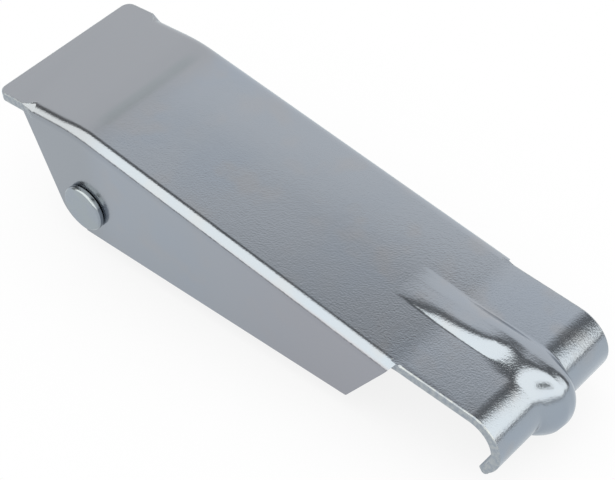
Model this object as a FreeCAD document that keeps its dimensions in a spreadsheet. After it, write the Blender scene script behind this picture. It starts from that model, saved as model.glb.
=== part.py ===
# Over-centre toggle latch pressed from zinc-plated steel sheet, in millimetres.
#
# The hook arm is a channel with a thumb tab at its rear and a curled hook at its nose.
# A pin through its cheeks hangs it on a link, and the link swings on a base bracket
# that screws to the panel. Closed, the link pin lies above the line from the arm's pin
# to the keeper bar, so the pull of the bar keeps the latch shut.
#
# Two frames are used. The panel frame has its origin in the middle of the screw holes,
# +X towards the hook and +Z away from the panel. The arm is drawn in its own frame,
# with x from the tab's rear edge and z from the flat top, and is then laid over the base.

import FreeCAD, Part
import math
import os

import Sketcher

V = FreeCAD.Vector
Y_AXIS = V(0, 1, 0)

# Driving dimensions: name, value and what it measures.
DIMENSIONS = [
    ("arm_length", 160.0, "tab's rear edge to the foremost point of the curl"),
    ("arm_width", 46.5, "across the outer faces of the cheeks"),
    ("sheet", 2.5, "thickness of the arm and the link"),
    ("bend_radius", 3.2, "outer radius of the long bends"),
    ("tab_drop", 5.9, "tab's rear edge below the flat top"),
    ("tab_slope", 12.6, "slope of the tab in degrees"),
    ("tab_reach", 9.3, "length of the tab behind the cheeks"),
    ("tab_corner", 2.6, "radius of the tab's two corners"),
    ("hump_radius", 41.0, "radius between the tab and the flat top"),
    ("runout", 3.0, "length over which the bend opens out to the tab's edge"),
    ("cheek_drop", 6.65, "upper end of the cheek's rear edge below the flat top"),
    ("heel_x", 25.6, "heel corner of the cheek, before rounding"),
    ("heel_depth", 35.1, "heel corner below the flat top"),
    ("heel_radius", 8.8, "rounding of the heel"),
    ("toe_back", 41.7, "front lower corner of the cheek, behind the curl's foremost point"),
    ("toe_depth", 20.8, "front lower corner below the flat top"),
    ("toe_radius", 0.9, "rounding of the front lower corner"),
    ("shoulder_back", 31.1, "front end of the long bends, behind the curl's foremost point"),
    ("nose_width", 42.0, "width of the strip that carries the hook"),
    ("nose_root", 32.5, "where the strip leaves the channel, behind the foremost point"),
    ("nose_rise", 4.0, "upward slope of the strip in degrees"),
    ("curl_radius", 9.45, "outer radius of the hook's curl"),
    ("curl_wrap", 143.0, "angle of the curl in degrees"),
    ("lip_rounding", 0.8, "rounding of the lip's two edges"),
    ("rib_start", 44.8, "where the rib rises from the flat top, behind the foremost point"),
    ("rib_height", 3.8, "height of the rib at the curl"),
    ("rib_half_width", 5.9, "half width of the rib at its foot"),
    ("rib_crest", 1.3, "half width of the rib's level crest"),
    ("rib_foot_share", 0.17, "share of the rib's flank that is the hollow foot, where the rib starts"),
    ("rib_foot_growth", 0.21, "growth of that share up to the curl"),
    ("pin_x", 31.85, "arm pin from the tab's rear edge"),
    ("pin_depth", 24.4, "arm pin below the flat top"),
    ("pin_body", 10.0, "diameter of both pins between their shoulders"),
    ("pin_end", 8.0, "diameter of the riveted ends of both pins"),
    ("arm_pin_head", 12.9, "diameter of the arm pin's heads"),
    ("base_pin_head", 12.0, "diameter of the base pin's heads"),
    ("head_height", 1.8, "height of the riveted heads"),
    ("head_rim", 0.4, "bevel of both rims of the riveted heads"),
    ("fit", 0.05, "radial running clearance of a pin in its hole"),
    ("side_play", 0.1, "axial clearance beside a head, a shoulder or a spacer"),
    ("ear_play", 0.35, "clearance between the link's ears and the base's ears"),
    ("spacer_width", 2.4, "thickness of the spacers on the arm pin"),
    ("spacer_size", 15.0, "diameter of the spacers on the arm pin"),
    ("link_length", 17.0, "distance between the two pins"),
    ("link_ear", 7.0, "radius of the link's ears"),
    ("link_web_start", 5.0, "link's web from the base pin"),
    ("link_web_length", 9.5, "length of the link's web"),
    ("link_web_gap", 0.4, "closed gap between the link's web and the base's ears"),
    ("over_centre", 2.2, "base pin above the line from the arm pin to the keeper bar"),
    ("panel_gap", 5.0, "cheeks' lower edges above the panel"),
    ("base_sheet", 3.0, "thickness of the base bracket"),
    ("base_bend", 3.6, "outer radius of the base bracket's bends"),
    ("base_ear", 7.0, "radius of the base bracket's ears"),
    ("base_foot", 11.0, "half length of the foot of the ears"),
    ("base_relief", 2.0, "width of the relief cut beside each bend"),
    ("base_tail", 10.0, "plate beyond the front screw holes"),
    ("base_corner", 4.0, "radius of the plate's front corners"),
    ("hole_offset", 22.4, "rear screw holes in front of the base pin"),
    ("hole_pitch", 32.0, "screw holes along the latch"),
    ("hole_edge", 5.8, "centres of the screw holes from the plate's sides"),
    ("hole_size", 5.5, "diameter of the screw holes"),
]

# Dimensions that follow from the driving ones, as expressions of the sheet.
TOE_X = "(Sizes.arm_length - Sizes.toe_back)"
SHOULDER_X = "(Sizes.arm_length - Sizes.shoulder_back)"
NOSE_X = "(Sizes.arm_length - Sizes.nose_root)"
RIB_X = "(Sizes.arm_length - Sizes.rib_start)"
TILT = f"atan((Sizes.heel_depth - Sizes.toe_depth) / ({TOE_X} - Sizes.heel_x))"
SLOPE = "(Sizes.tab_slope * 1deg)"
RISE = "(Sizes.nose_rise * 1deg)"
KNEE_X = f"(Sizes.tab_drop / tan({SLOPE}))"
HUMP_REACH = f"(Sizes.hump_radius * tan({SLOPE} / 2))"
CURL_X = "(Sizes.arm_length - Sizes.curl_radius)"
CURL_TOP_X = f"({CURL_X} - Sizes.curl_radius * sin({RISE}))"
CURL_TOP_Z = f"(({CURL_TOP_X} - {NOSE_X} - Sizes.sheet) * tan({RISE}))"
CURL_Z = f"({CURL_TOP_Z} - Sizes.curl_radius * cos({RISE}))"
PIN_HEIGHT = (f"(Sizes.panel_gap + (Sizes.heel_depth - Sizes.pin_depth) * cos({TILT})"
              f" - (Sizes.pin_x - Sizes.heel_x) * sin({TILT}))")
BAR_AHEAD = f"(({CURL_X} - Sizes.pin_x) * cos({TILT}) + ({CURL_Z} + Sizes.pin_depth) * sin({TILT}))"
BAR_BELOW = f"(({CURL_X} - Sizes.pin_x) * sin({TILT}) - ({CURL_Z} + Sizes.pin_depth) * cos({TILT}))"
LINK_TILT = f"(asin(Sizes.over_centre / Sizes.link_length) - atan({BAR_BELOW} / {BAR_AHEAD}))"
BASE_PIN_X = "(-Sizes.hole_offset - Sizes.hole_pitch / 2)"
BASE_PIN_Z = f"({PIN_HEIGHT} + Sizes.link_length * sin({LINK_TILT}))"
ARM_PIN_X = f"({BASE_PIN_X} - Sizes.link_length * cos({LINK_TILT}))"
CHEEK_INSIDE = "(Sizes.arm_width / 2 - Sizes.sheet)"
LINK_SIDE = f"({CHEEK_INSIDE} - Sizes.spacer_width - 2 * Sizes.side_play)"
BASE_SIDE = f"({LINK_SIDE} - Sizes.sheet - Sizes.ear_play)"
HOLE_SIDE = f"({BASE_SIDE} - Sizes.hole_edge)"
WEB_INSIDE = "(Sizes.base_ear + Sizes.link_web_gap)"
DEEP = "(Sizes.heel_depth + 2 * Sizes.sheet)"


def make_sheet(doc):
    """Put every driving dimension in a spreadsheet cell with its name as the alias."""
    sheet = doc.addObject("Spreadsheet::Sheet", "Sizes")
    for row, (name, value, meaning) in enumerate(DIMENSIONS, start=1):
        sheet.set(f"A{row}", name)
        sheet.set(f"B{row}", str(value))
        sheet.set(f"C{row}", meaning)
        sheet.setAlias(f"B{row}", name)
    doc.recompute()
    return sheet


def value(sheet, expression):
    """Give an expression of the sheet as a plain number, angles in degrees."""
    result = sheet.evalExpression(expression)
    return float(getattr(result, "Value", result))


def plane(body, role):
    """Give one of a body's own origin planes."""
    return next(item for item in body.Origin.OriginFeatures if item.Role == role)


def bind(sketch, kind, index, point, name, expression):
    """Hold one coordinate of a sketch point to an expression of the sheet."""
    number = value(sketch.Document.Sizes, expression)
    row = sketch.addConstraint(Sketcher.Constraint(kind, -1, 1, index, point, number))
    sketch.renameConstraint(row, name)
    sketch.setExpression(f"Constraints.{name}", expression)


def draw_outline(body, name, role, corners, arcs=None):
    """Draw a closed outline of lines and arcs through corners given as expressions.

    arcs maps the index of an edge to its radius and to the turn of the arc, +1 for
    anticlockwise and -1 for clockwise, both going from that corner to the next.
    """
    sheet = body.Document.Sizes
    sketch = body.newObject("Sketcher::SketchObject", name)
    sketch.AttachmentSupport = [(plane(body, role), "")]
    sketch.MapMode = "FlatFace"
    points = [V(value(sheet, x), value(sheet, y), 0) for x, y in corners]
    count = len(points)
    arcs = arcs or {}
    for index, start in enumerate(points):
        end = points[(index + 1) % count]
        if index not in arcs:
            sketch.addGeometry(Part.LineSegment(start, end), False)
            continue
        radius_expression, turn = arcs[index]
        radius = value(sheet, radius_expression)
        chord = end - start
        rise = math.sqrt(max(radius ** 2 - (chord.Length / 2) ** 2, 0.0))
        normal = V(-chord.y, chord.x, 0).normalize() * turn
        centre = (start + end) * 0.5 + normal * rise
        middle = centre - normal * radius
        sketch.addGeometry(Part.Arc(start, middle, end), False)
    # An anticlockwise arc keeps its order in a sketch, and a clockwise one is turned round.
    first = [2 if index in arcs and arcs[index][1] < 0 else 1 for index in range(count)]
    last = [3 - point for point in first]
    for index in range(count):
        follower = (index + 1) % count
        sketch.addConstraint(Sketcher.Constraint("Coincident", index, last[index],
                                                 follower, first[follower]))
    for index, (x, y) in enumerate(corners):
        bind(sketch, "DistanceX", index, first[index], f"x{index}", x)
        bind(sketch, "DistanceY", index, first[index], f"y{index}", y)
    for index, (radius_expression, turn) in arcs.items():
        follower = (index + 1) % count
        chord = points[follower] - points[index]
        if abs(2 * value(sheet, radius_expression) - chord.Length) > 1e-6:
            row = sketch.addConstraint(Sketcher.Constraint(
                "Radius", index, value(sheet, radius_expression)))
            sketch.renameConstraint(row, f"r{index}")
            sketch.setExpression(f"Constraints.r{index}", radius_expression)
            continue
        # A half circle's centre is the middle of its chord.
        kind, part = ("DistanceX", 0) if abs(chord.x) < abs(chord.y) else ("DistanceY", 1)
        bind(sketch, kind, index, 3, f"c{index}",
             f"({corners[index][part]} + {corners[follower][part]}) / 2")
    return sketch


def draw_circles(body, name, role, circles):
    """Draw circles, each given by expressions for its centre and its diameter."""
    sheet = body.Document.Sizes
    sketch = body.newObject("Sketcher::SketchObject", name)
    sketch.AttachmentSupport = [(plane(body, role), "")]
    sketch.MapMode = "FlatFace"
    for index, (x, y, diameter) in enumerate(circles):
        centre = V(value(sheet, x), value(sheet, y), 0)
        radius = value(sheet, diameter) / 2
        sketch.addGeometry(Part.Circle(centre, V(0, 0, 1), radius), False)
        bind(sketch, "DistanceX", index, 3, f"x{index}", x)
        bind(sketch, "DistanceY", index, 3, f"y{index}", y)
        row = sketch.addConstraint(Sketcher.Constraint("Diameter", index, 2 * radius))
        sketch.renameConstraint(row, f"d{index}")
        sketch.setExpression(f"Constraints.d{index}", diameter)
    return sketch


def add_pad(body, name, sketch, length, midplane=True):
    """Pad a sketch by a length given as an expression."""
    pad = body.newObject("PartDesign::Pad", name)
    pad.Profile = sketch
    pad.Midplane = midplane
    pad.setExpression("Length", length)
    body.Document.recompute()
    return pad


def add_pocket(body, name, sketch, length):
    """Cut a sketch out of the body, by half of the length to each side of its plane."""
    before = body.Shape.Volume
    pocket = body.newObject("PartDesign::Pocket", name)
    pocket.Profile = sketch
    pocket.Midplane = True
    pocket.setExpression("Length", length)
    body.Document.recompute()
    if body.Shape.Volume >= before:
        raise RuntimeError(f"{name} cuts nothing")
    return pocket


def add_fillet(body, name, test, radius):
    """Round the edges of the body's last shape that pass a test."""
    base = body.Tip
    names = [f"Edge{row}" for row, edge in enumerate(base.Shape.Edges, start=1) if test(edge)]
    if not names:
        raise RuntimeError(f"{name} finds no edge")
    fillet = body.newObject("PartDesign::Fillet", name)
    fillet.Base = (base, names)
    fillet.setExpression("Radius", radius)
    body.Document.recompute()
    return fillet


def near(left, right):
    """Compare two lengths to a thousandth of a millimetre."""
    return abs(left - right) < 1e-3


def runs_along(edge, x=None, y=None, z=None):
    """Say whether a whole edge keeps the given coordinates, y taken on either side."""
    box = edge.BoundBox
    if x is not None and not (near(box.XMin, x) and near(box.XMax, x)):
        return False
    if z is not None and not (near(box.ZMin, z) and near(box.ZMax, z)):
        return False
    if y is not None and not (near(abs(box.YMin), y) and near(abs(box.YMax), y)
                              and near(box.YMin, box.YMax)):
        return False
    return True


def make_channel(doc):
    """Make the arm's folded channel in the arm's own frame, from its full bends forward."""
    sheet = doc.Sizes
    body = doc.addObject("PartDesign::Body", "arm_channel")
    hump_rear_x = f"({KNEE_X} - {HUMP_REACH} * cos({SLOPE}))"
    hump_rear_z = f"(-{HUMP_REACH} * sin({SLOPE}))"
    hump_front_x = f"({KNEE_X} + {HUMP_REACH})"
    rear_x = "(Sizes.tab_reach + Sizes.runout)"
    rear_top = f"({rear_x} * tan({SLOPE}) - Sizes.tab_drop)"

    stock = draw_outline(body, "stock_outline", "XZ_Plane", [
        (rear_x, rear_top),
        (f"({rear_x} + ({rear_top} + {DEEP}) * tan({SLOPE}))", f"-{DEEP}"),
        (SHOULDER_X, f"-{DEEP}"),
        (SHOULDER_X, "0 * Sizes.sheet"),
        (hump_front_x, "0 * Sizes.sheet"),
        (hump_rear_x, hump_rear_z),
    ], {4: ("Sizes.hump_radius", 1)})
    add_pad(body, "stock", stock, "Sizes.arm_width")
    half = value(sheet, "Sizes.arm_width / 2")
    top = value(sheet, rear_top)
    add_fillet(body, "outer_bends",
               lambda edge: runs_along(edge, y=half) and edge.BoundBox.ZMin > top - 1e-3,
               "Sizes.bend_radius")

    inside_rear = f"(-Sizes.tab_drop - Sizes.sheet / cos({SLOPE}) - Sizes.tab_reach * tan({SLOPE}))"
    inside = draw_outline(body, "inside_outline", "XZ_Plane", [
        ("-Sizes.tab_reach", inside_rear),
        ("-Sizes.tab_reach", f"-{DEEP} - Sizes.sheet"),
        ("Sizes.arm_length", f"-{DEEP} - Sizes.sheet"),
        ("Sizes.arm_length", "-Sizes.sheet"),
        (hump_front_x, "-Sizes.sheet"),
        (f"{hump_rear_x} + Sizes.sheet * sin({SLOPE})", f"{hump_rear_z} - Sizes.sheet * cos({SLOPE})"),
    ], {4: ("Sizes.hump_radius - Sizes.sheet", 1)})
    add_pocket(body, "inside", inside, "Sizes.arm_width - 2 * Sizes.sheet")
    inner = half - value(sheet, "Sizes.sheet")
    under = value(sheet, f"{rear_top} - Sizes.sheet / cos({SLOPE})")
    add_fillet(body, "inner_bends",
               lambda edge: runs_along(edge, y=inner) and edge.BoundBox.ZMin > under - 1e-3,
               "Sizes.bend_radius - Sizes.sheet")

    trim = draw_outline(body, "cheek_outline", "XZ_Plane", [
        ("Sizes.tab_reach", "-Sizes.cheek_drop"),
        ("-Sizes.tab_reach", "-Sizes.cheek_drop"),
        ("-Sizes.tab_reach", f"-{DEEP} - Sizes.sheet"),
        ("Sizes.arm_length", f"-{DEEP} - Sizes.sheet"),
        ("Sizes.arm_length", "0 * Sizes.sheet"),
        (SHOULDER_X, "0 * Sizes.sheet"),
        (TOE_X, "-Sizes.toe_depth"),
        ("Sizes.heel_x", "-Sizes.heel_depth"),
    ])
    add_pocket(body, "cheek_trim", trim, "2 * Sizes.arm_width")
    heel = (value(sheet, "Sizes.heel_x"), value(sheet, "-Sizes.heel_depth"))
    add_fillet(body, "heels", lambda edge: runs_along(edge, x=heel[0], z=heel[1]),
               "Sizes.heel_radius")
    toe = (value(sheet, TOE_X), value(sheet, "-Sizes.toe_depth"))
    add_fillet(body, "toes", lambda edge: runs_along(edge, x=toe[0], z=toe[1]),
               "Sizes.toe_radius")

    flat_side = f"({CHEEK_INSIDE} - Sizes.bend_radius + Sizes.sheet)"
    window = draw_outline(body, "nose_window", "XY_Plane", [
        (RIB_X, f"-{flat_side}"),
        ("Sizes.arm_length", f"-{flat_side}"),
        ("Sizes.arm_length", flat_side),
        (RIB_X, flat_side),
    ])
    add_pocket(body, "nose_seat", window, "4 * Sizes.sheet")

    holes = draw_circles(body, "pin_holes", "XZ_Plane", [
        ("Sizes.pin_x", "-Sizes.pin_depth", "Sizes.pin_end + 2 * Sizes.fit"),
    ])
    add_pocket(body, "pin_bores", holes, "2 * Sizes.arm_width")
    return body


def make_rear(doc):
    """Make the tab and the length over which the bends open out to the tab's edges."""
    sheet = doc.Sizes
    slope = math.radians(value(sheet, "Sizes.tab_slope"))
    thick = value(sheet, "Sizes.sheet")
    radius = value(sheet, "Sizes.bend_radius")
    start = value(sheet, "Sizes.tab_reach")
    end = start + value(sheet, "Sizes.runout")
    drop = value(sheet, "Sizes.tab_drop")
    half = value(sheet, "Sizes.arm_width / 2")
    deep = value(sheet, DEEP)

    def point(x, y=0.0, below=0.0):
        """Give a point under the tab's top at x, square to the slope."""
        return V(x + below * math.sin(slope), y,
                 x * math.tan(slope) - drop - below * math.cos(slope))

    def section(x, corner, half_width, upper, lower):
        """Draw a section square to the slope, with its two upper corners rounded."""
        lean = corner * (1 - math.sqrt(0.5))
        left, right = -half_width, half_width
        return Part.Wire([
            Part.makeLine(point(x, left, lower), point(x, left, upper + corner)),
            Part.Arc(point(x, left, upper + corner), point(x, left + lean, upper + lean),
                     point(x, left + corner, upper)).toShape(),
            Part.makeLine(point(x, left + corner, upper), point(x, right - corner, upper)),
            Part.Arc(point(x, right - corner, upper), point(x, right - lean, upper + lean),
                     point(x, right, upper + corner)).toShape(),
            Part.makeLine(point(x, right, upper + corner), point(x, right, lower)),
            Part.makeLine(point(x, right, lower), point(x, left, lower))])

    def prism(corners, half_width):
        """Extrude a closed outline across the arm, to both sides of its middle."""
        face = Part.Face(Part.makePolygon(corners + corners[:1]))
        face.translate(V(0, -half_width, 0))
        return face.extrude(V(0, 2 * half_width, 0))

    corner = V(start, 0, -value(sheet, "Sizes.cheek_drop"))
    heel = V(value(sheet, "Sizes.heel_x"), 0, -value(sheet, "Sizes.heel_depth"))
    block = Part.makeLoft([section(start, thick / 8, half, 0.0, deep),
                           section(end, radius, half, 0.0, deep)], True, True)
    wedge = prism([point(start), point(start, below=deep), V(start, 0, point(start, below=deep).z)],
                  half)
    hollow = Part.makeLoft([section(start - thick, radius - thick, half - thick, thick, 2 * deep),
                            section(end + thick, radius - thick, half - thick, thick, 2 * deep)],
                           True, True)
    behind = prism([corner, V(-start, 0, corner.z), V(-start, 0, -2 * deep),
                    V(heel.x, 0, -2 * deep), heel], 2 * half)
    sides = block.fuse(wedge).cut([hollow, behind])

    tab = prism([point(0), point(0, below=thick), point(start, below=thick), point(start)], half)
    tab = tab.makeFillet(value(sheet, "Sizes.tab_corner"), [
        edge for edge in tab.Edges
        if edge.BoundBox.XMax < thick and near(edge.BoundBox.YLength, 0)])
    feature = doc.addObject("Part::Feature", "tab_and_runout")
    feature.Shape = tab.fuse(sides)
    return feature


def rib_section(height, foot, crest, share, half_strip, thick, origin, normal):
    """Draw the strip's section with its rib, at a point of its top and along its normal.

    The rib has a level crest with a rounded edge on each side and a hollow foot below it,
    all tangent, and the underside follows at the sheet's thickness, so the wall is as
    thick all the way round.
    """
    reach = ((foot - crest) ** 2 / height + height) / 2
    foot_radius = share * reach
    edge_radius = reach - foot_radius
    edge_centre = height - edge_radius
    turn = math.asin((foot - crest) / reach)

    def arc(centre_y, centre_z, radius, start, end):
        """Give an arc's first, middle and last point for angles from the normal."""
        return [(centre_y + radius * math.sin(angle), centre_z + radius * math.cos(angle))
                for angle in (start, (start + end) / 2, end)]

    def outline(offset):
        """Give the edges of the top, or of the underside at a depth below it."""
        left = arc(-foot, foot_radius, -(foot_radius + offset), 0.0, -turn)
        left_edge = arc(-crest, edge_centre, edge_radius - offset, -turn, 0.0)
        right_edge = arc(crest, edge_centre, edge_radius - offset, 0.0, turn)
        right = arc(foot, foot_radius, -(foot_radius + offset), turn, 0.0)
        return [[(-half_strip, -offset), left[0]], left, left_edge,
                [left_edge[-1], right_edge[0]], right_edge, right,
                [right[-1], (half_strip, -offset)]]

    def place(point):
        """Carry a point of the section into the arm's frame."""
        return origin + V(0, point[0], 0) + normal * point[1]

    upper = outline(0.0)
    lower = [stretch[::-1] for stretch in outline(thick)[::-1]]
    stretches = upper + [[upper[-1][-1], lower[0][0]]] + lower + [[lower[-1][-1], upper[0][0]]]
    edges = []
    for stretch in stretches:
        points = [place(point) for point in stretch]
        if len(points) == 2:
            edges.append(Part.makeLine(*points))
        else:
            edges.append(Part.Arc(*points).toShape())
    return Part.Wire(edges)


def make_nose(doc):
    """Make the ribbed strip and the curled hook, in the arm's own frame."""
    sheet = doc.Sizes
    rise = math.radians(value(sheet, "Sizes.nose_rise"))
    thick = value(sheet, "Sizes.sheet")
    root = value(sheet, NOSE_X)
    start = value(sheet, RIB_X)
    top = V(value(sheet, CURL_TOP_X), 0, value(sheet, CURL_TOP_Z))
    centre = V(value(sheet, CURL_X), 0, value(sheet, CURL_Z))
    full = value(sheet, "Sizes.rib_height")
    foot = value(sheet, "Sizes.rib_half_width")
    crest = value(sheet, "Sizes.rib_crest")
    share = value(sheet, "Sizes.rib_foot_share")
    growth = value(sheet, "Sizes.rib_foot_growth")
    flat_side = value(sheet, f"{CHEEK_INSIDE} - Sizes.bend_radius + Sizes.sheet")
    strip_side = value(sheet, "Sizes.nose_width / 2")

    def section(x, z, angle, half_strip):
        """Draw the section at a place of the strip, its rib higher towards the curl."""
        run = (x - start) / (top.x - start)
        height = full * max((10 * run - run ** 10) / 9, 0.002)
        normal = V(-math.sin(angle), 0, math.cos(angle))
        return rib_section(height, foot, crest, share + growth * run ** 2, half_strip, thick,
                           V(x, 0, z), normal)

    inside = Part.makeLoft([section(start, 0, 0, flat_side), section(root, 0, 0, flat_side)],
                           True, True)
    # The strip bends up over a short arc, tangent to the flat top and to its slope.
    bend = thick
    ramp = [(root, 0.0, 0.0),
            (root + bend, bend * math.tan(rise) / 4, rise / 2),
            (root + 2 * bend, bend * math.tan(rise), rise)]
    for step in (1, 2):
        x = root + 2 * bend + (top.x - root - 2 * bend) * step / 3
        ramp.append((x, (x - root - bend) * math.tan(rise), rise))
    ramp.append((top.x, top.z, rise))
    strip = Part.makeLoft([section(x, z, angle, strip_side) for x, z, angle in ramp],
                          True, False)
    normal = V(-math.sin(rise), 0, math.cos(rise))
    face = Part.Face(rib_section(full, foot, crest, share + growth, strip_side, thick, top,
                                 normal))
    wrap = value(sheet, "Sizes.curl_wrap")
    curl = face.revolve(centre, Y_AXIS, wrap)
    # The lip's two long edges are rounded where they lie in its end face.
    end_normal = FreeCAD.Rotation(Y_AXIS, wrap).multVec(V(math.cos(rise), 0, math.sin(rise)))
    ends = [edge for edge in curl.Edges
            if all(near((point.Point - centre).dot(end_normal), 0) for point in edge.Vertexes)
            and abs(edge.CenterOfMass.y) < strip_side - 1e-3]
    curl = curl.makeFillet(value(sheet, "Sizes.lip_rounding"), ends)
    feature = doc.addObject("Part::Feature", "nose")
    feature.Shape = inside.fuse([strip, curl])
    return feature


def make_hook_arm(doc):
    """Join the tab, the channel and the nose into the one pressed arm."""
    arm = doc.addObject("Part::MultiFuse", "hook_arm")
    arm.Label = "hook_arm"
    arm.Shapes = [make_rear(doc), make_channel(doc), make_nose(doc)]
    arm.Refine = True
    arm.Placement = FreeCAD.Placement(V(0, 0, 0), FreeCAD.Rotation(Y_AXIS, 1.0))
    arm.setExpression("Placement.Rotation.Angle", TILT)
    arm.setExpression("Placement.Base.x", f"{ARM_PIN_X} - Sizes.pin_x * cos({TILT})"
                                          f" + Sizes.pin_depth * sin({TILT})")
    arm.setExpression("Placement.Base.z", f"{PIN_HEIGHT} + Sizes.pin_x * sin({TILT})"
                                          f" + Sizes.pin_depth * cos({TILT})")
    doc.recompute()
    return arm


def make_pin(doc, name, shoulder, neck, head, x, z):
    """Turn a shouldered pin with two riveted heads, lying along Y at x and z.

    shoulder is half the length of the thick body, neck the distance from the middle to
    the inner face of each head, and head the diameter of the heads.
    """
    body = doc.addObject("PartDesign::Body", name)
    body.Label = name
    outer = f"({neck} + Sizes.head_height)"
    axis = "0 * Sizes.sheet"
    half = [
        (outer, axis),
        (outer, f"{head} / 2 - Sizes.head_rim"),
        (f"({outer} - Sizes.head_rim)", f"{head} / 2"),
        (f"({neck} + Sizes.head_rim)", f"{head} / 2"),
        (neck, f"{head} / 2 - Sizes.head_rim"),
        (neck, "Sizes.pin_end / 2"),
        (shoulder, "Sizes.pin_end / 2"),
        (shoulder, "Sizes.pin_body / 2"),
    ]
    mirrored = [(f"-{along}", radius) for along, radius in reversed(half)]
    profile = draw_outline(body, f"{name}_profile", "YZ_Plane", half + mirrored)
    turned = body.newObject("PartDesign::Revolution", f"{name}_turning")
    turned.Profile = profile
    turned.ReferenceAxis = (profile, ["H_Axis"])
    turned.Angle = 360.0
    body.setExpression("Placement.Base.x", x)
    body.setExpression("Placement.Base.z", z)
    doc.recompute()
    return body


def make_spacer(doc, name, side):
    """Make a plain spacer on the arm pin, between a cheek and an ear of the link."""
    disc = doc.addObject("Part::Cylinder", f"{name}_disc")
    disc.setExpression("Radius", "Sizes.spacer_size / 2")
    disc.setExpression("Height", "Sizes.spacer_width")
    bore = doc.addObject("Part::Cylinder", f"{name}_bore")
    bore.setExpression("Radius", "Sizes.pin_body / 2 + Sizes.fit")
    bore.setExpression("Height", "Sizes.spacer_width")
    spacer = doc.addObject("Part::Cut", name)
    spacer.Label = name
    spacer.Base = disc
    spacer.Tool = bore
    # The cylinders rise along Z, and a quarter turn about X lays them towards -Y or +Y.
    spacer.Placement = FreeCAD.Placement(V(0, 0, 0), FreeCAD.Rotation(V(1, 0, 0), -90 * side))
    spacer.setExpression("Placement.Base.x", ARM_PIN_X)
    spacer.setExpression("Placement.Base.y", f"{side} * ({LINK_SIDE} + Sizes.side_play)")
    spacer.setExpression("Placement.Base.z", PIN_HEIGHT)
    doc.recompute()
    return spacer


def make_link(doc):
    """Press the stirrup-shaped link: two ears joined by a web above the pins."""
    sheet = doc.Sizes
    body = doc.addObject("PartDesign::Body", "toggle_link")
    body.Label = "toggle_link"
    web_top = f"({WEB_INSIDE} + Sizes.sheet)"
    web_rear = "(-Sizes.link_web_start - Sizes.link_web_length)"
    side = draw_outline(body, "link_outline", "XZ_Plane", [
        ("-Sizes.link_length", "-Sizes.link_ear"),
        ("0 * Sizes.sheet", "-Sizes.link_ear"),
        ("0 * Sizes.sheet", "Sizes.link_ear"),
        ("-Sizes.link_web_start", "Sizes.link_ear"),
        ("-Sizes.link_web_start", web_top),
        (web_rear, web_top),
        (web_rear, "Sizes.link_ear"),
        ("-Sizes.link_length", "Sizes.link_ear"),
    ], {1: ("Sizes.link_ear", 1), 7: ("Sizes.link_ear", 1)})
    add_pad(body, "link_stock", side, f"2 * {LINK_SIDE}")
    gap = draw_outline(body, "link_gap", "YZ_Plane", [
        (f"-({LINK_SIDE} - Sizes.sheet)", "-2 * Sizes.link_ear"),
        (f"{LINK_SIDE} - Sizes.sheet", "-2 * Sizes.link_ear"),
        (f"{LINK_SIDE} - Sizes.sheet", WEB_INSIDE),
        (f"-({LINK_SIDE} - Sizes.sheet)", WEB_INSIDE),
    ])
    add_pocket(body, "link_fold", gap, "4 * (Sizes.link_length + Sizes.link_ear)")
    outer = value(sheet, LINK_SIDE)
    thick = value(sheet, "Sizes.sheet")
    crown = value(sheet, web_top)
    add_fillet(body, "link_outer_bends", lambda edge: runs_along(edge, y=outer, z=crown),
               "Sizes.bend_radius")
    add_fillet(body, "link_inner_bends",
               lambda edge: runs_along(edge, y=outer - thick, z=crown - thick),
               "Sizes.bend_radius - Sizes.sheet")
    holes = draw_circles(body, "link_holes", "XZ_Plane", [
        ("0 * Sizes.sheet", "0 * Sizes.sheet", "Sizes.pin_end + 2 * Sizes.fit"),
        ("-Sizes.link_length", "0 * Sizes.sheet", "Sizes.pin_body + 2 * Sizes.fit"),
    ])
    add_pocket(body, "link_bores", holes, "2 * Sizes.arm_width")
    body.Placement = FreeCAD.Placement(V(0, 0, 0), FreeCAD.Rotation(V(0, -1, 0), 1.0))
    body.setExpression("Placement.Rotation.Angle", LINK_TILT)
    body.setExpression("Placement.Base.x", BASE_PIN_X)
    body.setExpression("Placement.Base.z", BASE_PIN_Z)
    doc.recompute()
    return body


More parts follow.
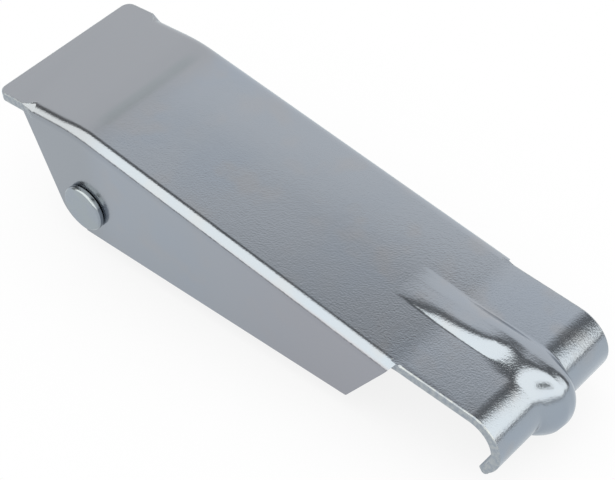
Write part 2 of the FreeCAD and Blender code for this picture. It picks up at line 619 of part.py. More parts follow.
def make_base(doc):
    """Press the base bracket: a screw plate with two ears folded up at its rear."""
    sheet = doc.Sizes
    body = doc.addObject("PartDesign::Body", "base_bracket")
    body.Label = "base_bracket"
    flank = "(Sizes.base_sheet + Sizes.base_foot - Sizes.base_ear)"
    ground = "0 * Sizes.sheet"
    side = draw_outline(body, "base_ear_outline", "XZ_Plane", [
        (f"{BASE_PIN_X} - Sizes.base_foot", ground),
        (f"{BASE_PIN_X} + Sizes.base_foot", ground),
        (f"{BASE_PIN_X} + Sizes.base_foot", "Sizes.base_sheet"),
        (f"{BASE_PIN_X} + Sizes.base_ear", flank),
        (f"{BASE_PIN_X} + Sizes.base_ear", BASE_PIN_Z),
        (f"{BASE_PIN_X} - Sizes.base_ear", BASE_PIN_Z),
        (f"{BASE_PIN_X} - Sizes.base_ear", flank),
        (f"{BASE_PIN_X} - Sizes.base_foot", "Sizes.base_sheet"),
    ], {4: ("Sizes.base_ear", 1)})
    add_pad(body, "base_stock", side, f"2 * {BASE_SIDE}")
    roof = f"({BASE_PIN_Z} + 2 * Sizes.base_ear)"
    gap = draw_outline(body, "base_gap", "YZ_Plane", [
        (f"-({BASE_SIDE} - Sizes.base_sheet)", "Sizes.base_sheet"),
        (f"{BASE_SIDE} - Sizes.base_sheet", "Sizes.base_sheet"),
        (f"{BASE_SIDE} - Sizes.base_sheet", roof),
        (f"-({BASE_SIDE} - Sizes.base_sheet)", roof),
    ])
    add_pocket(body, "base_fold", gap, "4 * (Sizes.hole_pitch + Sizes.hole_offset)")
    outer = value(sheet, BASE_SIDE)
    thick = value(sheet, "Sizes.base_sheet")
    add_fillet(body, "base_outer_bends", lambda edge: runs_along(edge, y=outer, z=0.0),
               "Sizes.base_bend")
    add_fillet(body, "base_inner_bends",
               lambda edge: runs_along(edge, y=outer - thick, z=thick),
               "Sizes.base_bend - Sizes.base_sheet")

    neck = f"({BASE_SIDE} - Sizes.base_bend)"
    rear = f"({BASE_PIN_X} + Sizes.base_foot - Sizes.base_sheet)"
    relief = f"({BASE_PIN_X} + Sizes.base_foot + Sizes.base_relief)"
    front = "(Sizes.hole_pitch / 2 + Sizes.base_tail)"
    plate = draw_outline(body, "base_plate_outline", "XY_Plane", [
        (rear, f"-{neck}"),
        (relief, f"-{neck}"),
        (relief, f"-{BASE_SIDE}"),
        (front, f"-{BASE_SIDE}"),
        (front, BASE_SIDE),
        (relief, BASE_SIDE),
        (relief, neck),
        (rear, neck),
    ])
    add_pad(body, "base_plate", plate, "Sizes.base_sheet", midplane=False)
    tip = value(sheet, front)
    add_fillet(body, "base_corners", lambda edge: runs_along(edge, x=tip, y=outer),
               "Sizes.base_corner")
    screws = draw_circles(body, "screw_holes", "XY_Plane", [
        (f"{along} * Sizes.hole_pitch / 2", f"{across} * {HOLE_SIDE}", "Sizes.hole_size")
        for along in (-1, 1) for across in (-1, 1)])
    add_pocket(body, "screw_bores", screws, "4 * Sizes.base_sheet")
    bores = draw_circles(body, "base_pin_holes", "XZ_Plane", [
        (BASE_PIN_X, BASE_PIN_Z, "Sizes.pin_end + 2 * Sizes.fit"),
    ])
    add_pocket(body, "base_pin_bores", bores, "2 * Sizes.arm_width")
    return body


def check(doc, pieces):
    """Stop if any object of the document failed, or a piece is not one sound solid."""
    for item in doc.Objects:
        if "Invalid" in item.State or "Error" in item.State:
            raise RuntimeError(f"{item.Name} failed: {item.State}")
    for piece in pieces:
        if piece.Shape.isNull() or not piece.Shape.isValid():
            raise RuntimeError(f"{piece.Label} is not a valid shape")
        if len(piece.Shape.Solids) != 1:
            raise RuntimeError(f"{piece.Label} has {len(piece.Shape.Solids)} solids")


def main():
    """Build the latch and write each piece to its own file."""
    doc = FreeCAD.newDocument("toggle_latch")
    make_sheet(doc)
    arm_neck = "(Sizes.arm_width / 2 + Sizes.side_play)"
    arm_shoulder = f"({CHEEK_INSIDE} - Sizes.side_play)"
    base_neck = f"({LINK_SIDE} + Sizes.side_play)"
    base_shoulder = f"({BASE_SIDE} - Sizes.base_sheet - Sizes.side_play)"
    pieces = [
        make_base(doc),
        make_pin(doc, "base_rivet", base_shoulder, base_neck, "Sizes.base_pin_head",
                 BASE_PIN_X, BASE_PIN_Z),
        make_link(doc),
        make_pin(doc, "arm_rivet", arm_shoulder, arm_neck, "Sizes.arm_pin_head",
                 ARM_PIN_X, PIN_HEIGHT),
        make_spacer(doc, "near_spacer", -1),
        make_spacer(doc, "far_spacer", 1),
        make_hook_arm(doc),
    ]
    doc.recompute()
    check(doc, pieces)
    os.makedirs("parts", exist_ok=True)
    for piece in pieces:
        piece.Shape.exportStep(f"parts/{piece.Label}.step")


main()
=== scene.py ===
"""The looks of an over-centre toggle latch in bright zinc plate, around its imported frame."""

import math

import bmesh
import bpy
from mathutils import Matrix, Vector
from mathutils.bvhtree import BVHTree


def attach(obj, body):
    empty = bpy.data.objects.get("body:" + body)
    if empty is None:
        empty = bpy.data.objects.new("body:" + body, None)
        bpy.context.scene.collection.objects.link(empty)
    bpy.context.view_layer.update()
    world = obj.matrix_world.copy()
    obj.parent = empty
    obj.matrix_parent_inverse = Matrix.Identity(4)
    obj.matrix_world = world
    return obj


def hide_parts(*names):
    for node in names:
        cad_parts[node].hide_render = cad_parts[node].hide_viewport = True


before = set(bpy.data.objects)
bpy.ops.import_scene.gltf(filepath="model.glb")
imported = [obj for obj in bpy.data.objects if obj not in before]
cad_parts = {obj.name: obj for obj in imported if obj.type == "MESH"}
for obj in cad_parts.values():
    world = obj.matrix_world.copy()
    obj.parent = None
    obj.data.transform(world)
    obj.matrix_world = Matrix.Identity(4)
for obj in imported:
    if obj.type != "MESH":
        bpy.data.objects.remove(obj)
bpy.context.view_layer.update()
MM = 0.001

# The camera stands above the hook, in front and to the near side.
CAMERA_PLACE = Vector((226.1, -239.6, 347.1)) * MM
CAMERA_TARGET = Vector((-0.3, -0.75, 19.6)) * MM
CAMERA_ROLL = math.radians(-3.01)
CAMERA_LENS = 111.5
SENSOR_WIDTH = 36.0
NEAREST_SEEN = 10 * MM

# Places on the closed latch: the curl's axis, the pins' axes and the middle of its height.
CURL_AXIS = Vector((64.517, 0.0, 12.698)) * MM
ARM_PIN = Vector((-55.290, 0.0, 14.622)) * MM
BASE_PIN = Vector((-38.400, 0.0, 16.551)) * MM
MIDDLE_HEIGHT = 10 * MM

# The arm's own frame, whose X runs along its flat top from the tab to the hook.
ARM_PLACE = Vector((-83.048, 0.0, 43.593)) * MM
ARM_TURN = math.radians(8.7694)

# The strip rises from the flat top over a soft bend, and the curl follows it.
STRIP_ROOT = 127.5 * MM
STRIP_BEND = 5.0 * MM
STRIP_RISE = math.radians(4.0)
CURL_X = 150.55 * MM
CURL_RADIUS = 9.45 * MM

# The rib before it is pressed. Its height grows quickly at first and levels out at the curl, and
# its hollow foot takes a growing share of each flank.
RIB_START = 115.2 * MM
RIB_HEIGHT = 3.8 * MM
RIB_FOOT = 5.9 * MM
RIB_CREST = 1.3 * MM
RIB_POWER = 10
RIB_LEAST = 0.002
FOOT_SHARE = 0.17
FOOT_GROWTH = 0.21

# The pressed rib along the strip and round the curl, all in mm but the last: the way from the
# arm's rear, the height, the near half width, and how soft the near flank is. It is flattened
# where the curl starts, and full at the curl's front.
PRESSED_RIB = (
    (115.2, 0.00, 5.9, 0.0),
    (116.5, 0.02, 5.9, 0.0),
    (118.0, 0.08, 5.9, 0.0),
    (119.5, 0.17, 5.9, 0.0),
    (121.0, 0.29, 5.9, 0.0),
    (125.0, 0.66, 5.9, 0.0),
    (130.0, 1.14, 5.9, 0.0),
    (135.0, 1.60, 5.9, 0.0),
    (138.0, 1.88, 5.9, 0.0),
    (141.0, 2.00, 5.9, 0.1),
    (143.5, 1.80, 6.6, 0.6),
    (146.0, 1.40, 7.6, 1.0),
    (148.5, 1.10, 8.0, 1.0),
    (151.0, 1.05, 7.8, 1.0),
    (153.0, 1.40, 7.2, 1.0),
    (155.0, 2.10, 6.7, 1.0),
    (157.0, 2.95, 6.5, 1.0),
    (159.0, 3.58, 6.4, 0.9),
    (161.5, 3.80, 6.4, 0.7),
    (174.0, 3.80, 6.4, 0.5),
)

# The fine net that the nose is cut into before its rib is pressed.
NOSE_REACH = 13.0 * MM
NET_STEP = 0.6 * MM
NET_ROWS = range(-21, 15)
NET_END = 166 * MM
NET_SLACK = 0.1 * MM
NET_MARGIN = 2 * MM
NET_MERGE = 0.02 * MM
SKIN_SLACK = 0.3 * MM
SKIN_ERROR = 0.01 * MM
PROBE = 0.02 * MM
PLAIN_END = 110 * MM

# The sheet and its rims. A face with more metal behind it than the wall is a cut edge.
SHEET = 2.5 * MM
CUT_EDGE_WALL = 1.5 * SHEET
OUTER_ROUND = 0.42 * MM
INNER_ROUND = 0.14 * MM
TURNED_ROUND = 0.12 * MM
SHEET_STEPS = 3
TURNED_STEPS = 2
SHORT_EDGE = 0.05 * MM
SLIVER = 0.25 * MM
SKIN_DEPTH = 0.01 * MM
FLAT_ANGLE = math.radians(0.2)
FOLD_ANGLE = math.radians(32)
EVEN_WEIGHT = 60

# The colours of the plating, and how rough each surface is from its clear to its cloudy parts.
ZINC = (0.330, 0.360, 0.400)
WARM_ZINC = (0.345, 0.360, 0.385)
BLUE_ZINC = (0.325, 0.362, 0.412)
# The tab's colour is darker as painted shade on its tilted face.
PAINTED_TAB_SHADE = (0.310, 0.325, 0.350)
CHEEK_ZINC = (0.330, 0.325, 0.350)
# A painted shade, drawn as a darker streak across the tab's bend.
PAINTED_BEND_SHADE = (0.285, 0.310, 0.330)
SHEARED_ZINC = (0.42, 0.44, 0.45)
TURNED_ZINC = (0.335, 0.365, 0.385)
PLATE_ROUGHNESS = (0.14, 0.19)
SHEARED_ROUGHNESS = (0.34, 0.46)
TURNED_ROUGHNESS = (0.18, 0.26)

# The patterns in the plating, in features per metre.
CLOUDS = 38.0
SPOTS = 95.0
WAVES = 420.0
GRAIN = 2300.0
TEARS = 900.0
RINGS = 2600.0
TURNED_GRAIN = 2000.0
TURNED_CLOUDS = 160.0

# How far the patterns stand out, and how strongly they bend the light.
RELIEF = 0.05 * MM
TORN_RELIEF = 0.08 * MM
GRAIN_STRENGTH = 0.75
REAR_GRAIN = 0.55
WAVE_STRENGTH = 0.14
TEAR_STRENGTH = 0.3
TURNED_STRENGTH = 0.22

# How much the arm's top falls off to its near and its far side, in 1/m, and how many times more
# its near side does at the nose.
NEAR_CROWN = 0.2
NOSE_GROWTH = 3.5
FAR_CROWN = 1.0

# Where the painted shade across the tab's bend lies along the latch.
BEND_SHADE_X = -53.1 * MM

# The room that the plate mirrors: a bright soft box on one side of an edge, and past the edge a
# dark gap that opens into a pale wall. A dark patch hangs where the camera looks from.
BOX_EDGE = Vector((-0.624, 0.761, -0.181))
BOX_LEVEL = 2.15
BOX_TINT = (1.0, 1.0, 0.95)
BOX_FADE = (0.0, 0.03)
BOX_FOOT = (0.08, 0.14)
GAP_LEVEL = 0.20
WALL_LEVEL = 1.1
WALL_FADE = (0.25, 0.47)
PATCH_FADE = (0.974, 0.991)
PATCH_SHADE = 0.92

# The floor, and how bright it is close to the latch and away from it: close to it a painted shadow dims
# its glow, faintly as seen and more as mirrored in the metal.
WHITE = (1.0, 1.0, 1.0)
FLOOR_REACH = 4.0
FLOOR_SINK = 0.05 * MM
FLOOR_GREY = (0.8, 0.8, 0.8, 1.0)
FLOOR_TINT = (0.97, 1.01, 1.03)
SHADOW_REACH = 70 * MM
SEEN_SHADOW = (0.86, 1.0)
MIRRORED_SHADOW = (0.72, 1.02)


class Tree:
    """A node tree under construction, with short names for the nodes that the finishes share."""

    def __init__(self, tree):
        self.tree = tree
        tree.nodes.clear()

    def add(self, kind, **settings):
        """Add a node with its settings."""
        node = self.tree.nodes.new(kind)
        for name, value in settings.items():
            setattr(node, name, value)
        return node

    def join(self, source, target):
        """Join an output to an input."""
        self.tree.links.new(source, target)

    def fill(self, socket, value):
        """Give a socket a plain value or join it to another socket."""
        if isinstance(value, bpy.types.NodeSocket):
            self.join(value, socket)
        else:
            socket.default_value = value

    def math(self, operation, first, second=0.0, clamp=False):
        """Work out a number from one or two others."""
        node = self.add("ShaderNodeMath", operation=operation, use_clamp=clamp)
        self.fill(node.inputs[0], first)
        self.fill(node.inputs[1], second)
        return node.outputs[0]

    def ramp(self, value, low, high, start=0.0, end=1.0):
        """Ease from start to end as a value goes from low to high."""
        node = self.add("ShaderNodeMapRange", interpolation_type="SMOOTHSTEP")
        for name, number in (("From Min", low), ("From Max", high), ("To Min", start), ("To Max", end)):
            self.fill(node.inputs[name], number)
        self.fill(node.inputs["Value"], value)
        return node.outputs["Result"]

    def mix(self, factor, first, second):
        """Blend two colours."""
        node = self.add("ShaderNodeMix", data_type="RGBA")
        self.fill(node.inputs["Factor"], factor)
        for socket, value in ((node.inputs["A"], first), (node.inputs["B"], second)):
            self.fill(socket, (*value, 1.0) if isinstance(value, tuple) else value)
        return node.outputs["Result"]

    def blend(self, factor, first, second):
        """Blend two levels."""
        node = self.add("ShaderNodeMix", data_type="FLOAT")
        for name, value in (("Factor", factor), ("A", first), ("B", second)):
            self.fill(node.inputs[name], value)
        return node.outputs["Result"]

    def noise(self, vector, scale, detail=2.0, roughness=0.5):
        """Read a noise of a given number of features per metre."""
        node = self.add("ShaderNodeTexNoise")
        for name, number in (("Scale", scale), ("Detail", detail), ("Roughness", roughness)):
            node.inputs[name].default_value = number
        self.join(vector, node.inputs["Vector"])
        return node.outputs["Fac"]

    def vector(self, operation, vector, other=None):
        """Work out a vector or a length from one or two vectors."""
        node = self.add("ShaderNodeVectorMath", operation=operation)
        self.join(vector, node.inputs[0])
        if other is not None:
            node.inputs[1].default_value = other
        return node

    def dot(self, vector, direction):
        """Measure how far a vector points along a direction."""
        return self.vector("DOT_PRODUCT", vector, Vector(direction).normalized()).outputs["Value"]

    def raise_by(self, height, distance, strength=1.0, normal=None):
        """Bump the surface by a height that counts in a given distance."""
        node = self.add("ShaderNodeBump")
        node.inputs["Strength"].default_value = strength
        node.inputs["Distance"].default_value = distance
        self.join(height, node.inputs["Height"])
        if normal is not None:
            self.join(normal, node.inputs["Normal"])
        return node.outputs[0]


def start_material(name):
    """Open a material and give it, its tree and the place on the piece."""
    material = bpy.data.materials.new(name)
    material.use_nodes = True
    tree = Tree(material.node_tree)
    return material, tree, tree.add("ShaderNodeTexCoord").outputs["Object"]


def close_metal(tree, colour, roughness, normal):
    """End a material's tree as a metal."""
    shader = tree.add("ShaderNodeBsdfPrincipled")
    shader.inputs["Metallic"].default_value = 1.0
    tree.fill(shader.inputs["Base Color"], colour)
    tree.fill(shader.inputs["Roughness"], roughness)
    tree.join(normal, shader.inputs["Normal"])
    output = tree.add("ShaderNodeOutputMaterial")
    tree.join(shader.outputs[0], output.inputs["Surface"])


def crown(tree, along, across):
    """Give the height by which the arm's top falls off to both sides."""
    growth = tree.math("MULTIPLY", tree.ramp(along, -50 * MM, 30 * MM, 0.0, NEAR_CROWN),
                       tree.ramp(along, 45 * MM, 60 * MM, 1.0, NOSE_GROWTH))
    near = tree.math("MULTIPLY", tree.math("POWER", tree.math("MINIMUM", across, 0.0), 2.0),
                     tree.math("MULTIPLY", growth, -0.5))
    far = tree.math("MULTIPLY", tree.math("POWER", tree.math("MAXIMUM", across, 0.0), 2.0), -FAR_CROWN)
    return tree.math("ADD", near, far)


def tint_and_shade_arm(tree, colour, along, across, spots):
    """Tint the arm's cheeks, darken its tab with painted shade, and draw a painted shade across the tab's
    bend.
    """
    outward = tree.math("ABSOLUTE", across)
    cheek = tree.math("MULTIPLY", tree.ramp(outward, 22.2 * MM, 23.0 * MM),
                      tree.ramp(along, -30 * MM, 30 * MM, 0.25, 0.9))
    colour = tree.mix(cheek, colour, CHEEK_ZINC)
    # Painted shade: the tab is darkened.
    colour = tree.mix(tree.ramp(along, -56 * MM, -44 * MM, 1.0, 0.0), colour, PAINTED_TAB_SHADE)
    # Painted shade across the tab's bend, broken up by the spots.
    away = tree.math("ABSOLUTE", tree.math("ADD", along, -BEND_SHADE_X))
    bend_shade = tree.math("MULTIPLY", tree.ramp(away, 0.4 * MM, 2.6 * MM, 1.0, 0.0),
                       tree.ramp(outward, 12 * MM, 20 * MM, 1.0, 0.0))
    bend_shade = tree.math("MULTIPLY", bend_shade, tree.ramp(spots, 0.35, 0.55, 0.4, 1.0))
    return tree.mix(bend_shade, colour, PAINTED_BEND_SHADE)


def zinc_plate(name, arm=False):
    """Make bright zinc on smooth rolled sheet, with faint blue and warm clouds."""
    material, tree, place = start_material(name)
    clouds = tree.noise(place, CLOUDS, 3.0)
    spots = tree.noise(place, SPOTS)
    colour = tree.mix(tree.ramp(clouds, 0.42, 0.66), ZINC, BLUE_ZINC)
    colour = tree.mix(tree.ramp(spots, 0.50, 0.72, 0.0, 0.8), colour, WARM_ZINC)
    split = tree.add("ShaderNodeSeparateXYZ")
    tree.join(place, split.inputs[0])
    along, across = split.outputs["X"], split.outputs["Y"]
    grain = tree.math("MULTIPLY", tree.noise(place, GRAIN, roughness=0.6),
                      tree.ramp(along, 0.0, 45 * MM, REAR_GRAIN, 1.0))
    normal = tree.raise_by(grain, RELIEF, GRAIN_STRENGTH)
    normal = tree.raise_by(tree.noise(place, WAVES), RELIEF, WAVE_STRENGTH, normal)
    if arm:
        normal = tree.raise_by(crown(tree, along, across), 1.0, normal=normal)
        # On the arm this adds painted shade on the tab and across its bend.
        colour = tint_and_shade_arm(tree, colour, along, across, spots)
    close_metal(tree, colour, tree.ramp(clouds, 0.3, 0.7, *PLATE_ROUGHNESS), normal)
    return material


def sheared_edge(name):
    """Make the plated cut edge of the sheet, rougher and paler than its faces."""
    material, tree, place = start_material(name)
    tears = tree.noise(place, TEARS, 3.0, 0.6)
    colour = tree.mix(tree.ramp(tears, 0.35, 0.65), SHEARED_ZINC, ZINC)
    close_metal(tree, colour, tree.ramp(tears, 0.3, 0.7, *SHEARED_ROUGHNESS),
                tree.raise_by(tears, TORN_RELIEF, TEAR_STRENGTH))
    return material


def turned_zinc(name, axis):
    """Make bright zinc on turned steel, with faint rings round an axis along Y."""
    material, tree, place = start_material(name)
    offset = tree.vector("SUBTRACT", place, axis).outputs[0]
    flat = tree.vector("MULTIPLY", offset, (1.0, 0.0, 1.0)).outputs[0]
    line = tree.add("ShaderNodeCombineXYZ")
    tree.join(tree.vector("LENGTH", flat).outputs["Value"], line.inputs[0])
    rings = tree.noise(line.outputs[0], RINGS, roughness=0.6)
    grain = tree.noise(place, TURNED_GRAIN, roughness=0.6)
    clouds = tree.noise(place, TURNED_CLOUDS)
    normal = tree.raise_by(rings, RELIEF, TURNED_STRENGTH)
    normal = tree.raise_by(grain, RELIEF, TURNED_STRENGTH, normal)
    close_metal(tree, tree.mix(tree.ramp(clouds, 0.4, 0.65), TURNED_ZINC, ZINC),
                tree.ramp(clouds, 0.3, 0.7, *TURNED_ROUGHNESS), normal)
    return material


def into_arm(place):
    """Carry a place into the arm's own frame."""
    return Matrix.Rotation(-ARM_TURN, 3, "Y") @ (place - ARM_PLACE)


def out_of_arm(place):
    """Carry a place out of the arm's own frame."""
    return Matrix.Rotation(ARM_TURN, 3, "Y") @ place + ARM_PLACE


def strip_line(x):
    """Give the height and the slope of the strip's plain top at a place along the arm."""
    run = x - STRIP_ROOT
    climb = math.tan(STRIP_RISE)
    if run < 0:
        return 0.0, 0.0
    if run < STRIP_BEND:
        return climb * run * run / (2 * STRIP_BEND), math.atan(climb * run / STRIP_BEND)
    return climb * (run - STRIP_BEND / 2), STRIP_RISE


CURL_START = CURL_X - CURL_RADIUS * math.sin(STRIP_RISE)
CURL_Z = strip_line(CURL_START)[0] - CURL_RADIUS * math.cos(STRIP_RISE)


def nose_place(along, across, height):
    """Place a point of the nose by its way along the strip and curl and its height over them."""
    if along < CURL_START:
        level, slope = strip_line(along)
        return Vector((along - math.sin(slope) * height, across, level + math.cos(slope) * height))
    turn = (along - CURL_START) / CURL_RADIUS - STRIP_RISE
    reach = CURL_RADIUS + height
    return Vector((CURL_X + reach * math.sin(turn), across, CURL_Z + reach * math.cos(turn)))


def nose_way(place):
    """Give a point's way along the strip and curl and its height over them."""
    turn = math.atan2(place.x - CURL_X, place.z - CURL_Z) + STRIP_RISE
    if place.x > CURL_START - MM and turn > 0:
        reach = math.hypot(place.x - CURL_X, place.z - CURL_Z)
        return CURL_START + turn * CURL_RADIUS, reach - CURL_RADIUS
    along, height = place.x, 0.0
    for _ in range(4):
        level, slope = strip_line(along)
        height = (place.z - level) / math.cos(slope)
        along = place.x + math.sin(slope) * height
    return along, height


def rib_profile(across, height, foot, share):
    """Give the height of a rib with a level crest, rounded edges and a hollow foot."""
    side = abs(across) - RIB_CREST
    width = foot - RIB_CREST
    if side <= 0 or height <= 0:
        return max(height, 0.0)
    if side >= width:
        return 0.0
    reach = (width * width / height + height) / 2
    edge = reach * (1 - share)
    if side < edge * width / reach:
        return height - edge + math.sqrt(edge * edge - side * side)
    hollow = reach * share
    return hollow - math.sqrt(max(hollow * hollow - (width - side) ** 2, 0.0))


def plain_rib(along, across):
    """Give the rib's height before it is pressed."""
    run = min((along - RIB_START) / (CURL_START - RIB_START), 1.0)
    if run < 0:
        return 0.0
    growth = (RIB_POWER * run - run ** RIB_POWER) / (RIB_POWER - 1)
    return rib_profile(across, RIB_HEIGHT * max(growth, RIB_LEAST), RIB_FOOT,
                       FOOT_SHARE + FOOT_GROWTH * run ** 2)


def pressed_row(way):
    """Read the pressed rib's rows at a way in mm, on a smooth curve through them."""
    rows = (PRESSED_RIB[0], *PRESSED_RIB, PRESSED_RIB[-1])
    place = next((item for item in range(2, len(rows) - 1) if way < rows[item][0]), len(rows) - 2)
    before, first, last, after = rows[place - 2:place + 2]
    span = last[0] - first[0]
    step = min(max((way - first[0]) / span, 0.0), 1.0)
    values = []
    for item in (1, 2, 3):
        leave = (last[item] - before[item]) / (last[0] - before[0]) * span
        arrive = (after[item] - first[item]) / (after[0] - first[0]) * span
        rise = last[item] - first[item]
        curve = (leave + arrive - 2 * rise) * step + 3 * rise - 2 * leave - arrive
        values.append(first[item] + (curve * step + leave) * step)
    return values


def pressed_rib(along, across):
    """Give the rib's height once it is pressed."""
    if along <= RIB_START:
        return 0.0
    height, foot, soft = pressed_row(along / MM)
    height *= MM
    sharp = rib_profile(across, height, RIB_FOOT, FOOT_SHARE)
    if across > 0:
        return sharp
    side = min((math.hypot(across, RIB_CREST) - RIB_CREST) / (foot * MM - RIB_CREST), 1.0)
    broad = height * (1 - side) ** 2 * (1 + side)
    return sharp + (broad - sharp) * soft


def in_nose(place):
    """Say whether a point of the arm lies where the rib is pressed."""
    return place.x > RIB_START and abs(place.y) < NOSE_REACH


def cut_net(shape, faces, planes):
    """Cut a set of faces along planes of the arm's frame, each given by a place and a way."""
    geometry = list({part for face in faces for part in (face, *face.edges, *face.verts)})
    for place, way in planes:
        cut = bmesh.ops.bisect_plane(shape, geom=geometry, dist=NET_MERGE, plane_co=out_of_arm(place),
                                     plane_no=out_of_arm(way) - out_of_arm(Vector()))
        geometry = cut["geom"]


def press_rib(shape):
    """Cut the nose into a fine net and press its rib, on both sides of the sheet."""
    faces = [face for face in shape.faces
             if all(RIB_START - NET_SLACK < nose_way(into_arm(corner.co))[0] < NET_END + NET_MARGIN
                    for corner in face.verts)]
    cut_net(shape, faces, [(Vector((0, row * NET_STEP, 0)), Vector((0, 1, 0))) for row in NET_ROWS])
    faces = [face for face in shape.faces
             if all(in_nose(into_arm(corner.co)) for corner in face.verts)]
    ways = [RIB_START + step * NET_STEP for step in range(1, int((NET_END - RIB_START) / NET_STEP))]
    cut_net(shape, faces, [(nose_place(way, 0, 0), nose_place(way + MM, 0, 0) - nose_place(way - MM, 0, 0))
                           for way in ways])
    bmesh.ops.triangulate(shape, faces=[face for face in shape.faces if len(face.verts) > 3])
    for corner in shape.verts:
        place = into_arm(corner.co)
        if not in_nose(place):
            continue
        along, height = nose_way(place)
        plain = plain_rib(along, place.y)
        pressed = pressed_rib(along, place.y)
        if height <= plain - SKIN_SLACK:
            pressed += height - plain
        corner.co = out_of_arm(nose_place(along, place.y, pressed))


def nose_normal(along, across):
    """Measure the direction that the pressed rib's surface faces."""
    ahead, behind, left, right = (
        out_of_arm(nose_place(x, y, pressed_rib(x, y)))
        for x, y in ((along + PROBE, across), (along - PROBE, across),
                     (along, across + PROBE), (along, across - PROBE)))
    return (ahead - behind).cross(left - right).normalized()


def wall_behind(tree, face):
    """Measure how thick the metal is behind the middle of a face."""
    start = face.calc_center_median() - face.normal * SKIN_DEPTH
    distance = tree.ray_cast(start, -face.normal)[3]
    return math.inf if distance is None else distance


def merged_copy(node):
    """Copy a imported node's mesh with its loose triangles joined."""
    shape = bmesh.new()
    shape.from_mesh(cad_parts[node].data)
    bmesh.ops.remove_doubles(shape, verts=shape.verts, dist=SHORT_EDGE)
    return shape


def is_outer(face):
    """Say whether a face of a pressed piece belongs to the outside of the sheet."""
    place = face.calc_center_median()
    if place.x > CURL_AXIS.x - 2 * MM:
        outward = place - CURL_AXIS
        outward.y = 0.0
    else:
        outward = Vector((0.0, place.y, place.z - MIDDLE_HEIGHT))
    return face.normal.dot(outward) > 0.0


def rims(shape, outer):
    """List the rims between a face of the sheet and its cut edge, on one side of the sheet.

    A rim that ends in a sliver of the mesh stays sharp.
    """
    shape.normal_update()
    found = []
    for item in shape.edges:
        skins = [face for face in item.link_faces if face.material_index == 0]
        if len(item.link_faces) != 2 or len(skins) != 1 or item.calc_face_angle(0.0) < FOLD_ANGLE:
            continue
        ends = [edge for corner in item.verts for edge in corner.link_edges]
        if is_outer(skins[0]) == outer and min(edge.calc_length() for edge in ends) > SLIVER:
            found.append(item)
    return found


def put(node, body, shape, materials):
    """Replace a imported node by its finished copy."""
    mesh = bpy.data.meshes.new(f"{node}_finished")
    shape.to_mesh(mesh)
    shape.free()
    for material in materials:
        mesh.materials.append(material)
    piece = bpy.data.objects.new(f"{node}_piece", mesh)
    bpy.context.scene.collection.objects.link(piece)
    even = piece.modifiers.new("even_shading", "WEIGHTED_NORMAL")
    even.mode = "FACE_AREA"
    even.weight = EVEN_WEIGHT
    even.keep_sharp = True
    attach(piece, body)
    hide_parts(node)
    return piece


def finish_sheet(node, body, face, edge, ribbed=False):
    """Finish a pressed node: its cut edges found, and its rims rounded as shearing leaves them."""
    shape = merged_copy(node)
    tree = BVHTree.FromBMesh(shape)
    for item in shape.faces:
        item.material_index = 1 if wall_behind(tree, item) > CUT_EDGE_WALL else 0
    plain = list(shape.verts)
    if ribbed:
        press_rib(shape)
        plain = [item for item in shape.verts if into_arm(item.co).x < PLAIN_END]
    bmesh.ops.dissolve_limit(shape, angle_limit=FLAT_ANGLE, verts=plain, delimit={"MATERIAL"},
                             edges=list({edge for item in plain for edge in item.link_edges}))
    for outer, size in ((True, OUTER_ROUND), (False, INNER_ROUND)):
        bmesh.ops.bevel(shape, geom=rims(shape, outer), offset=size, offset_type="OFFSET",
                        segments=SHEET_STEPS, profile=0.5, affect="EDGES", clamp_overlap=False, material=1)
    shape.normal_update()
    for item in shape.edges:
        item.smooth = item.calc_face_angle(0.0) < FOLD_ANGLE
    for item in shape.faces:
        item.smooth = True
    return put(node, body, shape, (face, edge))


def smooth_nose(piece):
    """Give the pressed rib's surface its exact shading."""
    graph = bpy.context.evaluated_depsgraph_get()
    mesh = bpy.data.meshes.new_from_object(piece.evaluated_get(graph))
    normals = [Vector(item.vector) for item in mesh.corner_normals]
    for face in mesh.polygons:
        if face.material_index != 0 or not in_nose(into_arm(face.center)):
            continue
        for index in face.loop_indices:
            place = into_arm(mesh.vertices[mesh.loops[index].vertex_index].co)
            along, height = nose_way(place)
            if abs(height - pressed_rib(along, place.y)) < SKIN_ERROR:
                normals[index] = nose_normal(along, place.y)
    mesh.normals_split_custom_set(normals)
    piece.modifiers.clear()
    piece.data = mesh


def finish_turned(node, body, material):
    """Finish a turned node: all its sharp rims lightly rounded."""
    shape = merged_copy(node)
    bmesh.ops.dissolve_limit(shape, angle_limit=FLAT_ANGLE, verts=shape.verts, edges=shape.edges)
    sharp = [item for item in shape.edges if item.calc_face_angle(0.0) > FOLD_ANGLE]
    bmesh.ops.bevel(shape, geom=sharp, offset=TURNED_ROUND, offset_type="OFFSET", segments=TURNED_STEPS,
                    profile=0.5, affect="EDGES", clamp_overlap=False, material=-1)
    for item in shape.faces:
        item.smooth = True
    return put(node, body, shape, (material,))


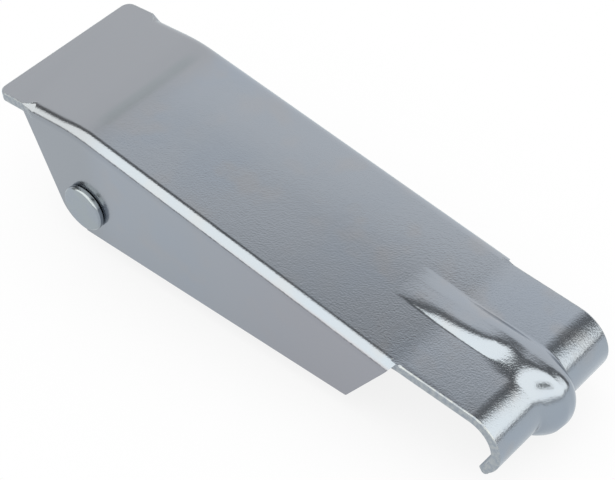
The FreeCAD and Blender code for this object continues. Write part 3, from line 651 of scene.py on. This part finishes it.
def make_floor():
    """Lay a white floor that darkens softly round whatever stands on it, as a painted shadow."""
    mesh = bpy.data.meshes.new("floor")
    shape = bmesh.new()
    bmesh.ops.create_grid(shape, x_segments=1, y_segments=1, size=FLOOR_REACH,
                          matrix=Matrix.Translation((0.0, 0.0, -FLOOR_SINK)))
    shape.to_mesh(mesh)
    shape.free()
    floor = bpy.data.objects.new("floor", mesh)
    bpy.context.scene.collection.objects.link(floor)
    material, tree, _ = start_material("white_floor")
    # Ambient occlusion dims the floor's glow near the latch: a painted shadow.
    shade = tree.add("ShaderNodeAmbientOcclusion", samples=8)
    shade.inputs["Distance"].default_value = SHADOW_REACH
    rays = tree.add("ShaderNodeLightPath")
    camera = rays.outputs["Is Camera Ray"]
    seen = tree.math("ADD", camera, rays.outputs["Is Glossy Ray"])
    seen = tree.math("ADD", seen, rays.outputs["Is Transmission Ray"], clamp=True)
    faint = tree.ramp(shade.outputs["AO"], 0.0, 1.0, *SEEN_SHADOW)
    strong = tree.ramp(shade.outputs["AO"], 0.0, 1.0, *MIRRORED_SHADOW)
    glow = tree.add("ShaderNodeEmission")
    tree.join(tree.mix(camera, FLOOR_TINT, WHITE), glow.inputs["Color"])
    tree.join(tree.blend(camera, strong, faint), glow.inputs["Strength"])
    pale = tree.add("ShaderNodeBsdfDiffuse")
    pale.inputs["Color"].default_value = FLOOR_GREY
    both = tree.add("ShaderNodeMixShader")
    tree.join(seen, both.inputs[0])
    tree.join(pale.outputs[0], both.inputs[1])
    tree.join(glow.outputs[0], both.inputs[2])
    output = tree.add("ShaderNodeOutputMaterial")
    tree.join(both.outputs[0], output.inputs["Surface"])
    mesh.materials.append(material)


def make_world():
    """Light the latch from a plain room: a bright soft box, a dark gap beside it and a pale wall."""
    world = bpy.data.worlds.new("studio")
    bpy.context.scene.world = world
    world.use_nodes = True
    tree = Tree(world.node_tree)
    way = tree.add("ShaderNodeTexCoord").outputs["Generated"]
    side = tree.dot(way, BOX_EDGE)
    box = tree.math("MULTIPLY", tree.ramp(side, *BOX_FADE, 1.0, 0.0),
                    tree.ramp(tree.dot(way, (0, 0, 1)), *BOX_FOOT))
    level = tree.blend(box, tree.ramp(side, *WALL_FADE, GAP_LEVEL, WALL_LEVEL), BOX_LEVEL)
    patch = tree.ramp(tree.dot(way, CAMERA_PLACE - CAMERA_TARGET), *PATCH_FADE, 0.0, PATCH_SHADE)
    level = tree.math("MULTIPLY", level, tree.math("SUBTRACT", 1.0, patch))
    camera = tree.add("ShaderNodeLightPath").outputs["Is Camera Ray"]
    sky = tree.add("ShaderNodeBackground")
    tree.join(tree.mix(camera, tree.mix(box, WHITE, BOX_TINT), WHITE), sky.inputs["Color"])
    tree.join(tree.blend(camera, level, 1.0), sky.inputs["Strength"])
    output = tree.add("ShaderNodeOutputWorld")
    tree.join(sky.outputs[0], output.inputs["Surface"])


def make_camera():
    """Stand the camera at the photograph's viewing angle."""
    data = bpy.data.cameras.new("camera")
    data.sensor_fit = "HORIZONTAL"
    data.sensor_width = SENSOR_WIDTH
    data.lens = CAMERA_LENS
    data.clip_start = NEAREST_SEEN
    camera = bpy.data.objects.new("camera", data)
    bpy.context.scene.collection.objects.link(camera)
    turn = (CAMERA_TARGET - CAMERA_PLACE).to_track_quat("-Z", "Y").to_matrix().to_4x4()
    camera.matrix_world = (Matrix.Translation(CAMERA_PLACE) @ turn
                           @ Matrix.Rotation(CAMERA_ROLL, 4, "Z"))
    bpy.context.scene.camera = camera


def main():
    """Dress every node, light the scene and place the camera."""
    bpy.context.scene.view_settings.view_transform = "Standard"
    plate = zinc_plate("zinc_plate", arm=True)
    inner = zinc_plate("inner_zinc")
    edge = sheared_edge("sheared_edge")
    arm_pin = turned_zinc("arm_pin_zinc", ARM_PIN)
    base_pin = turned_zinc("base_pin_zinc", BASE_PIN)
    smooth_nose(finish_sheet("hook_arm", "arm", plate, edge, ribbed=True))
    finish_sheet("toggle_link", "link", inner, edge)
    finish_sheet("base_bracket", "base", inner, edge)
    finish_turned("base_rivet", "base", base_pin)
    finish_turned("arm_rivet", "pin", arm_pin)
    finish_turned("near_spacer", "pin", arm_pin)
    finish_turned("far_spacer", "pin", arm_pin)
    make_floor()
    make_world()
    make_camera()


main()
